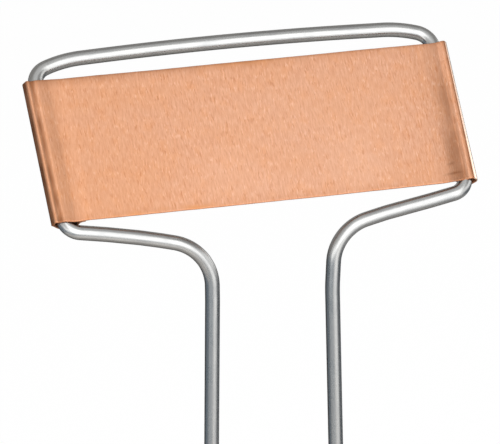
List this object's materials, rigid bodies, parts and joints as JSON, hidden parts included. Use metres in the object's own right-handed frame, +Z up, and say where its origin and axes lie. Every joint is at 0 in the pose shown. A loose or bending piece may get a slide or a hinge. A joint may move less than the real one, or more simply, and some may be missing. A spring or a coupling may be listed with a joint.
{
  "type": "plant label stake",
  "caption": "Garden label stake: a bent wire stake whose tilted head loop carries a sheet nameplate curled round its uprights.",
  "frame": {"origin": "midway between the tips of the two legs, at their ends", "axes": "+Z up along the legs, +X to the right across the nameplate, -Y the side that the nameplate faces; its head leans back 45 degrees towards +Y"},
  "size_m": [0.089, 0.0321, 0.2537],
  "materials": {
    "steel_wire": "satin galvanised wire",
    "copper_sheet": "brushed bare copper"
  },
  "bodies": {
    "stake": {"wire_frame": "steel_wire"},
    "label": {"nameplate": "copper_sheet"}
  },
  "joints": [
    {"name": "nameplate_slide", "type": "slide", "parent": "stake", "child": "label", "axis": [0, 0.7071, 0.7071], "range_m": [0, 0.002]}
  ]
}
